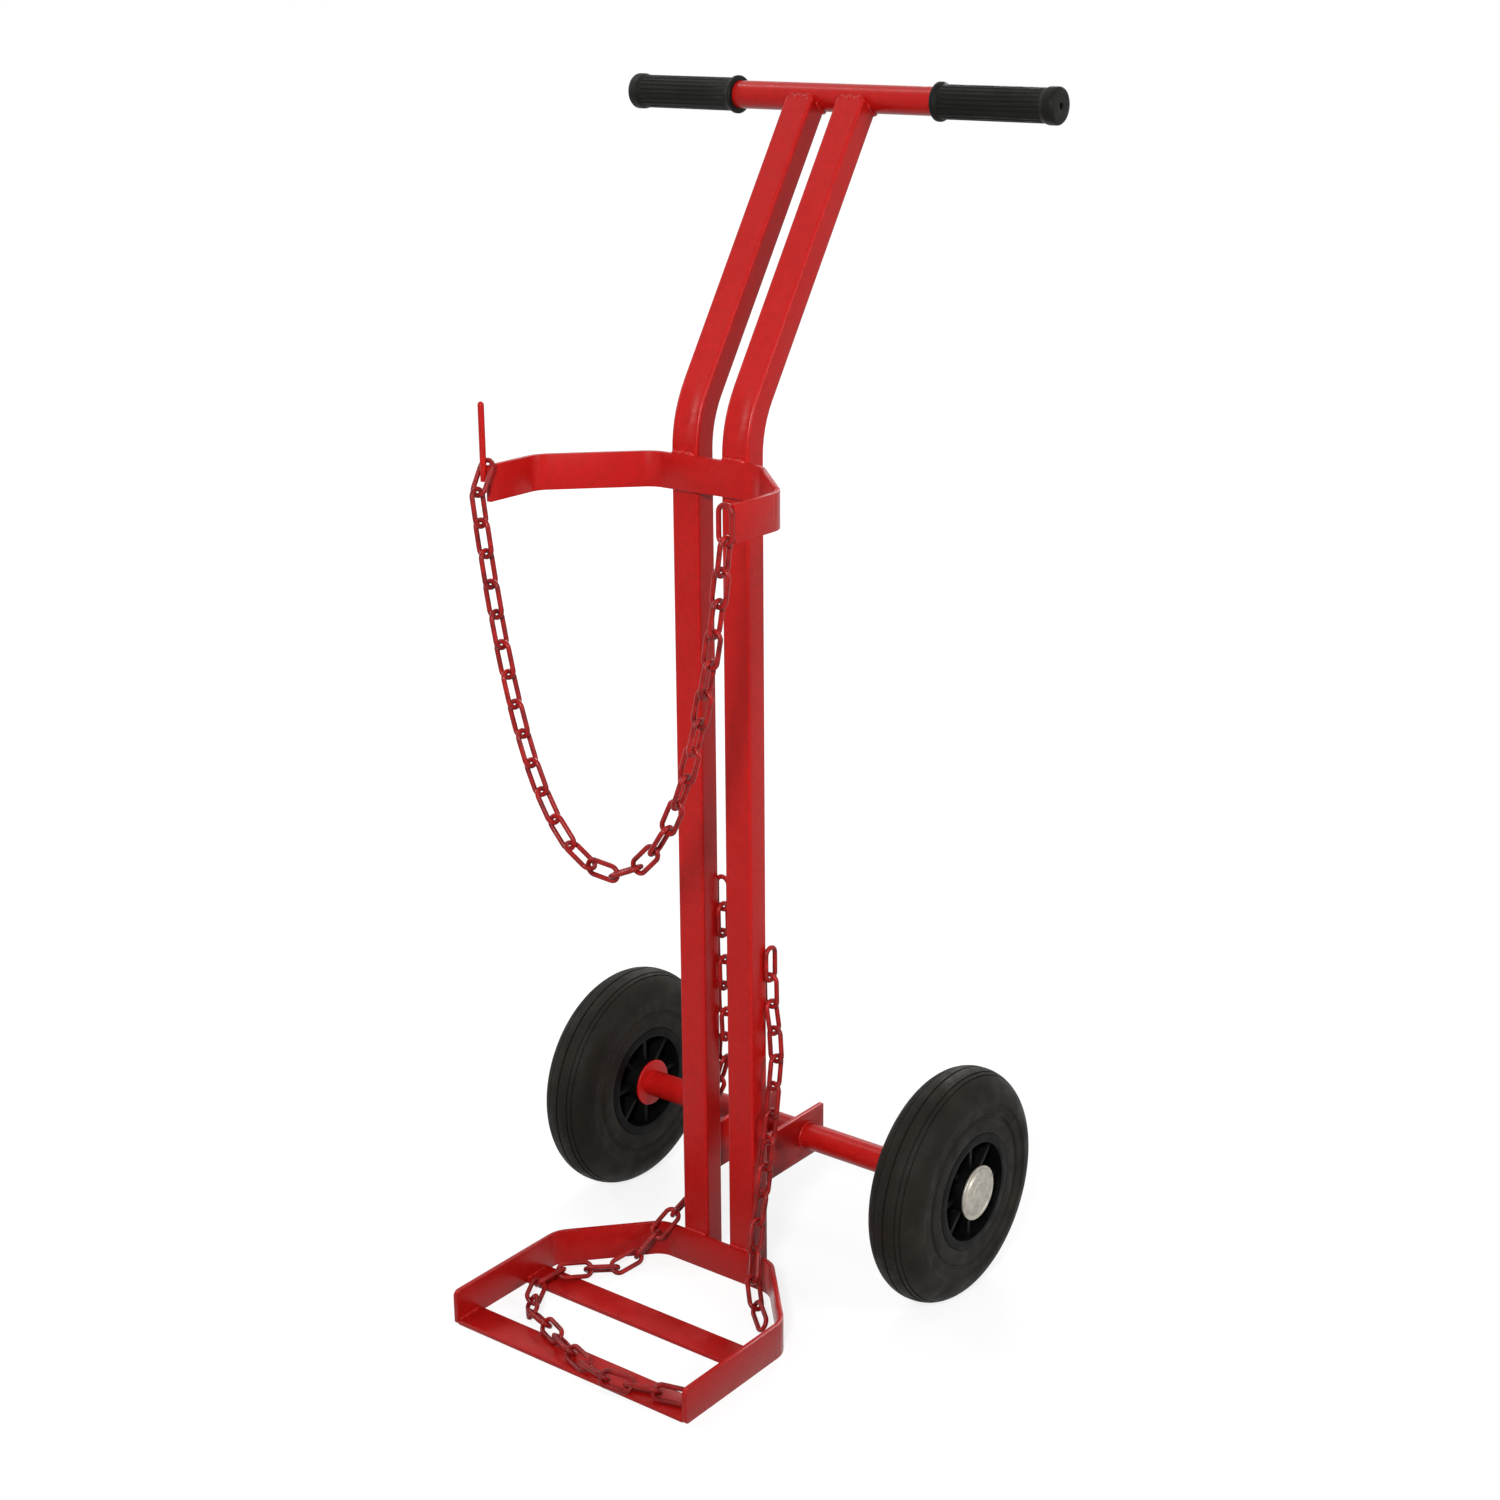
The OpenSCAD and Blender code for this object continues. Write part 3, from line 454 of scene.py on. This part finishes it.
# Weld beads.
def weld(bm, corners, radius, closed=False):
    """Lays a rippled bead along a line of corners in millimetres; an open one thins at its tips."""
    fine, fine_pace, slow, slow_pace = 0.09, 2.1, 0.12, 0.6
    tip, growth = 0.45, 0.2
    line = [Vector(corner) for corner in corners]
    if closed:
        line.append(line[0])
    points = []
    for first, second in zip(line, line[1:]):
        count = max(1, round((second - first).length / BEAD_STEP))
        points += [first.lerp(second, i / count) for i in range(count)]
    points.append(line[-1])
    ring, before, start = None, None, None
    for i, point in enumerate(points):
        ahead = points[min(i + 1, len(points) - 1)] - points[max(i - 1, 0)]
        ripple = radius * (1.0 + fine * math.sin(i * fine_pace) + slow * math.sin(i * slow_pace))
        if not closed:
            ripple *= min(1.0, tip + growth * min(i, len(points) - 1 - i))
        turn = ahead.to_track_quat("Z", "Y").to_matrix().to_4x4()
        place = Matrix.Translation(point * MM) @ turn @ Matrix.Scale(ripple * MM, 4)
        if ring is None:
            made = bmesh.ops.create_circle(bm, cap_ends=False, segments=10, radius=1.0, matrix=place)
            ring = list(dict.fromkeys(edge for vert in made["verts"] for edge in vert.link_edges))
            start = ring
        else:
            made = bmesh.ops.extrude_edge_only(bm, edges=ring)
            ring = [item for item in made["geom"] if isinstance(item, bmesh.types.BMEdge)]
            verts = [item for item in made["geom"] if isinstance(item, bmesh.types.BMVert)]
            bmesh.ops.transform(bm, matrix=place @ before.inverted(), verts=verts)
        before = place
    for end in (start, ring):
        bmesh.ops.edgeloop_fill(bm, edges=end)


def handle_seam(x):
    """Line where an upright meets the handle bar: round the bar's underside and across its own end."""
    half, reach, parts = UPRIGHT_W / 2 - 0.4, UPRIGHT_D / 2, 8
    front = BAR_SETBACK - math.sqrt(BAR_R ** 2 - (STEM_LEN - UPRIGHT_END) ** 2)
    seam = []
    for i in range(parts + 1):
        depth = front + (reach - front) * i / parts
        along = STEM_LEN - math.sqrt(max(0.0, BAR_R ** 2 - (depth - BAR_SETBACK) ** 2))
        seam.append(STEM_FOOT + along * STEM_UP + depth * STEM_BACK)
    right = [point + Vector((x + half, 0, 0)) for point in seam]
    left = [point + Vector((x - half, 0, 0)) for point in reversed(seam)]
    return right + left


def handle_lip(x):
    """Line across an upright's end, in the corner under the handle bar's front."""
    lip = STEM_FOOT + UPRIGHT_END * STEM_UP + (BAR_SETBACK - BAR_R - 0.4) * STEM_BACK
    half = UPRIGHT_W / 2 - BEAD_INSET
    return [lip + Vector((x + offset, 0, 0)) for offset in (-half, half)]


def weld_beads():
    """All the beads of the frame, as one piece."""
    bm = bmesh.new()
    for side in (-1, 1):
        x = side * UPRIGHT_X
        left, right = x - UPRIGHT_W / 2 + BEAD_INSET, x + UPRIGHT_W / 2 - BEAD_INSET
        weld(bm, handle_seam(x), SEAM_BEAD, closed=True)
        weld(bm, handle_lip(x), LIP_BEAD)
        bands = ((CRADLE_TOP, CRADLE_TOP_BEAD), (CRADLE_LOW, CRADLE_LOW_BEAD), (BASE_TOP, BASE_BEAD))
        for z, radius in bands:
            weld(bm, [(left, UPRIGHT_FRONT, z), (right, UPRIGHT_FRONT, z)], radius)
        for face in (-1, 1):
            edge = x + face * GUSSET_T / 2
            ends = (GUSSET_LOW + 1, GUSSET_TOP - 1)
            weld(bm, [(edge, UPRIGHT_BACK, end) for end in ends], GUSSET_BEAD)
            circle = [AXLE + Vector((edge, SLEEVE_R * math.cos(a), SLEEVE_R * math.sin(a)))
                      for a in (math.tau * i / 24 for i in range(24))]
            weld(bm, circle, SLEEVE_BEAD, closed=True)
        wall = side * (BASE_HALF - FLAT_T)
        for y in (BASE_FRONT, -FLAT_W / 2):
            ends = (y + BEAD_INSET, y + FLAT_W - BEAD_INSET)
            weld(bm, [(wall, end, FLAT_T) for end in ends], FLOOR_BAR_BEAD)
    peg = PEG_R - CRADLE_HALF
    weld(bm, [(peg, ARM_FRONT, CRADLE_TOP - PEG_FOOT), (peg, ARM_FRONT, CRADLE_TOP - 1)], PEG_BEAD)
    return piece(bm, "weld_beads", "red_paint", "frame", sharp=80.0)


weld_beads()


# Studio.
def seen(tree, socket, strength):
    """Drives a strength that only camera, mirror and see-through rays meet."""
    path = tree.nodes.new("ShaderNodeLightPath")
    either = path.outputs["Is Camera Ray"]
    for ray in ("Is Glossy Ray", "Is Transmission Ray"):
        highest = tree.nodes.new("ShaderNodeMath")
        highest.operation = "MAXIMUM"
        tree.links.new(either, highest.inputs[0])
        tree.links.new(path.outputs[ray], highest.inputs[1])
        either = highest.outputs[0]
    scaled = tree.nodes.new("ShaderNodeMath")
    scaled.operation = "MULTIPLY"
    scaled.inputs[1].default_value = strength
    tree.links.new(either, scaled.inputs[0])
    tree.links.new(scaled.outputs[0], socket)


def floor():
    """Pale floor that goes over into the white behind it."""
    bm = bmesh.new()
    bmesh.ops.create_grid(bm, x_segments=1, y_segments=1, size=12.0)
    mesh = bpy.data.meshes.new("floor")
    bm.to_mesh(mesh)
    bm.free()
    ground = bpy.data.objects.new("floor", mesh)
    scene.collection.objects.link(ground)
    made = bpy.data.materials.new("pale_floor")
    made.use_nodes = True
    tree = made.node_tree
    shader = tree.nodes["Principled BSDF"]
    shader.inputs["Base Color"].default_value = (0.22, 0.22, 0.22, 1.0)
    shader.inputs["Roughness"].default_value = 0.9
    shader.inputs["Specular IOR Level"].default_value = 0.0
    shader.inputs["Emission Color"].default_value = (1.0, 1.0, 1.0, 1.0)
    away = tree.nodes.new("ShaderNodeVectorMath")
    away.operation = "LENGTH"
    tree.links.new(tree.nodes.new("ShaderNodeTexCoord").outputs["Object"], away.inputs[0])
    white = tree.nodes.new("ShaderNodeMapRange")
    white.inputs["From Min"].default_value = 0.3
    white.inputs["From Max"].default_value = 3.0
    white.inputs["To Min"].default_value = 0.8
    white.inputs["To Max"].default_value = 1.0
    tree.links.new(away.outputs["Value"], white.inputs["Value"])
    lit = tree.nodes.new("ShaderNodeMath")
    lit.operation = "MULTIPLY"
    tree.links.new(white.outputs["Result"], lit.inputs[0])
    seen(tree, lit.inputs[1], 1.0)
    tree.links.new(lit.outputs[0], shader.inputs["Emission Strength"])
    mesh.materials.append(made)


def backdrop(light):
    """White world: full white to the camera and to reflections, softer as a light."""
    world = bpy.data.worlds.new("studio")
    world.use_nodes = True
    scene.world = world
    tree = world.node_tree
    sky = tree.nodes["Background"]
    sky.inputs["Color"].default_value = (1.0, 1.0, 1.0, 1.0)
    grow = tree.nodes.new("ShaderNodeMath")
    grow.operation = "ADD"
    grow.inputs[1].default_value = light
    seen(tree, grow.inputs[0], 1.0 - light)
    tree.links.new(grow.outputs[0], sky.inputs["Strength"])


def softbox(name, place, aim, size, power, spread=180.0, stretch=1.0):
    """Area light aimed at a point; a smaller spread in degrees keeps its light to the middle."""
    lamp = bpy.data.lights.new(name, "AREA")
    lamp.shape = "RECTANGLE"
    lamp.size = size
    lamp.size_y = size * stretch
    lamp.energy = power
    lamp.spread = math.radians(spread)
    made = bpy.data.objects.new(name, lamp)
    scene.collection.objects.link(made)
    made.location = place
    made.rotation_euler = (Vector(aim) - Vector(place)).to_track_quat("-Z", "Y").to_euler()


def photo_camera(place, yaw, pitch, roll, focal):
    """Camera with the photograph's place and lens, its angles in degrees round, down and tilted."""
    yaw, pitch, roll = math.radians(yaw), math.radians(pitch), math.radians(roll)
    level = Vector((-math.sin(yaw), math.cos(yaw), 0.0))
    ahead = level * math.cos(pitch) - Vector((0.0, 0.0, math.sin(pitch)))
    right = Vector((math.cos(yaw), math.sin(yaw), 0.0))
    up = right.cross(ahead)
    across = right * math.cos(roll) + up * math.sin(roll)
    upward = up * math.cos(roll) - right * math.sin(roll)
    lens = bpy.data.cameras.new("photo_camera")
    lens.sensor_width = 36.0
    lens.lens = focal
    made = bpy.data.objects.new("photo_camera", lens)
    scene.collection.objects.link(made)
    made.matrix_world = Matrix((
        (across.x, upward.x, -ahead.x, place[0]),
        (across.y, upward.y, -ahead.y, place[1]),
        (across.z, upward.z, -ahead.z, place[2]),
        (0.0, 0.0, 0.0, 1.0)))
    scene.camera = made


floor()
backdrop(0.35)
softbox("key", (1.25, -2.2, 1.75), (0.0, 0.05, 0.5), size=0.4, power=11.0, spread=72.0)
softbox("right", (2.3, 0.2, 1.3), (0.0, 0.1, 0.65), size=0.5, power=20.0)
softbox("left", (-2.2, -0.5, 1.5), (0.0, 0.1, 0.6), size=0.5, power=12.0)
softbox("above", (-1.2, 0.15, 2.5), (0.0, 0.2, 0.6), size=0.15, power=8.0, stretch=8.0)
softbox("back", (-0.9, 2.4, 1.7), (0.0, 0.1, 0.55), size=0.6, power=24.0)
photo_camera((1.15751, -1.35587, 1.07547), yaw=37.58, pitch=18.07, roll=-0.4, focal=58.92)
scene.view_settings.view_transform = "Standard"
